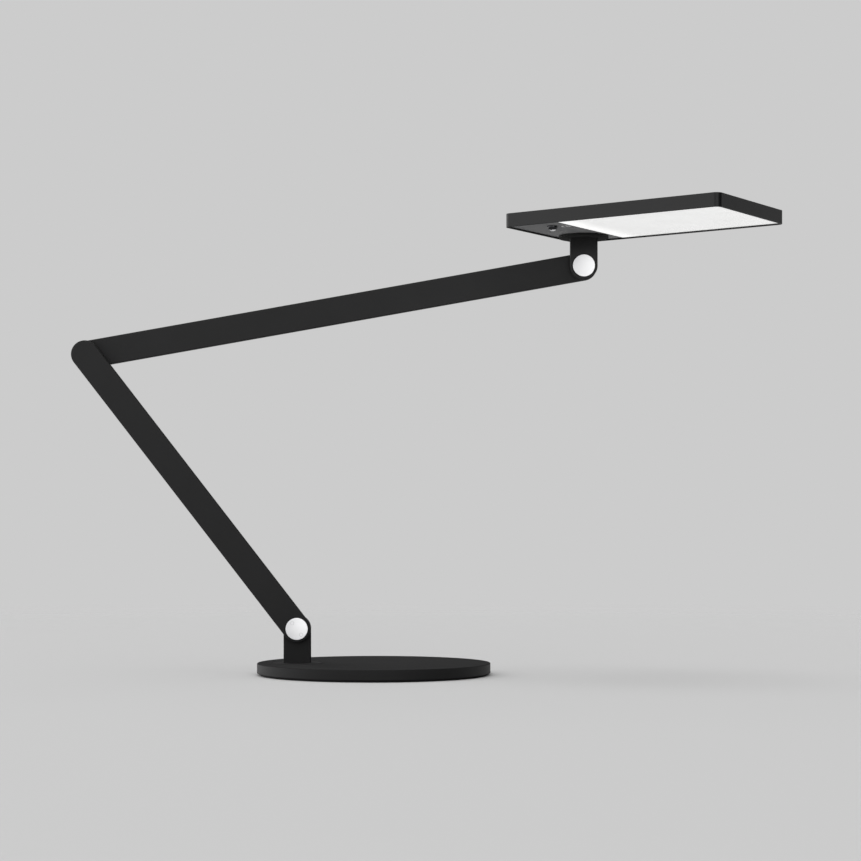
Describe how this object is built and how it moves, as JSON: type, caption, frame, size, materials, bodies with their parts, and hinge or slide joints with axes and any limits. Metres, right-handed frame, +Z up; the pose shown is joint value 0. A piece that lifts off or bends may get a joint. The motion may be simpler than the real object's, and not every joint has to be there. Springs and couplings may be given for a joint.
{
  "type": "desk lamp",
  "caption": "Desk lamp with a round weighted base, two flat friction-jointed arms and a slim rectangular light panel that tilts and swivels.",
  "frame": {"origin": "centre of the foot pad's underside, on the table", "axes": "+Z up, +X from the base towards the head, +Y to the rear of the lamp, where the power inlet is"},
  "size_m": [0.6841, 0.3182, 0.4432],
  "materials": {
    "base_black": "fine-textured satin black powder coat",
    "arm_black": "satin black anodised extrusion",
    "head_black": "satin black anodised sheet",
    "cap_bright": "fine turned bright satin",
    "steel_zinc": "zinc-plated steel",
    "cast_iron": "grey cast iron, as cast",
    "foot_rubber": "matt black rubber",
    "acetal": "natural acetal",
    "friction_fibre": "friction fibre",
    "lead_black": "black lead insulation",
    "inlet_black": "moulded black plastic with a plated contact",
    "panel_grey": "satin dark grey moulding",
    "button_chrome": "polished chrome",
    "diffuser_opal": "opal acrylic, fine matt",
    "frame_white": "white moulded reflector frame",
    "board_white": "white solder mask on an aluminium board",
    "board_green": "green circuit board",
    "led_yellow": "phosphor-coated chip"
  },
  "bodies": {
    "base": {"base_shell": "base_black", "base_weight": "cast_iron", "base_sheet": "steel_zinc", "foot_pad": "foot_rubber", "base_screws": "steel_zinc", "power_inlet": "inlet_black", "base_lead": "lead_black", "swivel_bush": "acetal"},
    "post_assembly": {"post": "arm_black", "swivel_washer": "steel_zinc", "swivel_nut": "steel_zinc", "post_lead": "lead_black", "shoulder_washer": "friction_fibre"},
    "lower_arm": {"lower_arm_bar": "arm_black", "lower_arm_cover": "arm_black", "lower_cover_screws": "steel_zinc", "lower_arm_lead": "lead_black", "shoulder_bolt": "cap_bright", "shoulder_spring": "steel_zinc", "shoulder_nut": "cap_bright", "elbow_bolt": "cap_bright", "elbow_spring": "steel_zinc", "elbow_washer": "friction_fibre"},
    "upper_arm": {"upper_arm_bar": "arm_black", "upper_arm_cover": "arm_black", "upper_cover_screws": "steel_zinc", "upper_arm_lead": "lead_black", "tilt_washer": "friction_fibre"},
    "bracket_assembly": {"head_bracket": "arm_black", "tilt_bolt": "steel_zinc", "tilt_cap": "cap_bright", "tilt_spring": "steel_zinc", "tilt_nut": "cap_bright", "neck_washer": "steel_zinc", "neck_nut": "steel_zinc"},
    "head": {"head_housing": "head_black", "swivel_plate": "steel_zinc", "plate_screws": "steel_zinc", "neck_bush": "acetal", "led_board": "board_white", "leds": "led_yellow", "light_frame": "frame_white", "diffuser": "diffuser_opal", "control_panel": "panel_grey", "driver_board": "board_green", "driver_screws": "steel_zinc", "button_switch": "inlet_black", "head_lead": "lead_black"},
    "button": {"power_button": "button_chrome"}
  },
  "joints": [
    {"name": "base_swivel", "type": "hinge", "parent": "base", "child": "post_assembly", "pos_m": [-0.0755, 0, 0.0118], "axis": [0, 0, 1], "range_deg": [-170, 170]},
    {"name": "shoulder", "type": "hinge", "parent": "post_assembly", "child": "lower_arm", "pos_m": [-0.0755, 0, 0.0455], "axis": [0, 1, 0], "range_deg": [-50, 40]},
    {"name": "elbow", "type": "hinge", "parent": "lower_arm", "child": "upper_arm", "pos_m": [-0.2838, 0, 0.31549], "axis": [0, -1, 0], "range_deg": [-25, 90]},
    {"name": "head_tilt", "type": "hinge", "parent": "upper_arm", "child": "bracket_assembly", "pos_m": [0.20656, 0, 0.40239], "axis": [0, 1, 0], "range_deg": [-15, 90]},
    {"name": "head_swivel", "type": "hinge", "parent": "bracket_assembly", "child": "head", "pos_m": [0.20656, -0.0078, 0.43019], "axis": [0, 0, 1], "range_deg": [-55, 125]},
    {"name": "button_press", "type": "slide", "parent": "head", "child": "button", "axis": [0, 0, 1], "range_m": [0, 0.0008], "stiffness_N_per_m": 800}
  ]
}
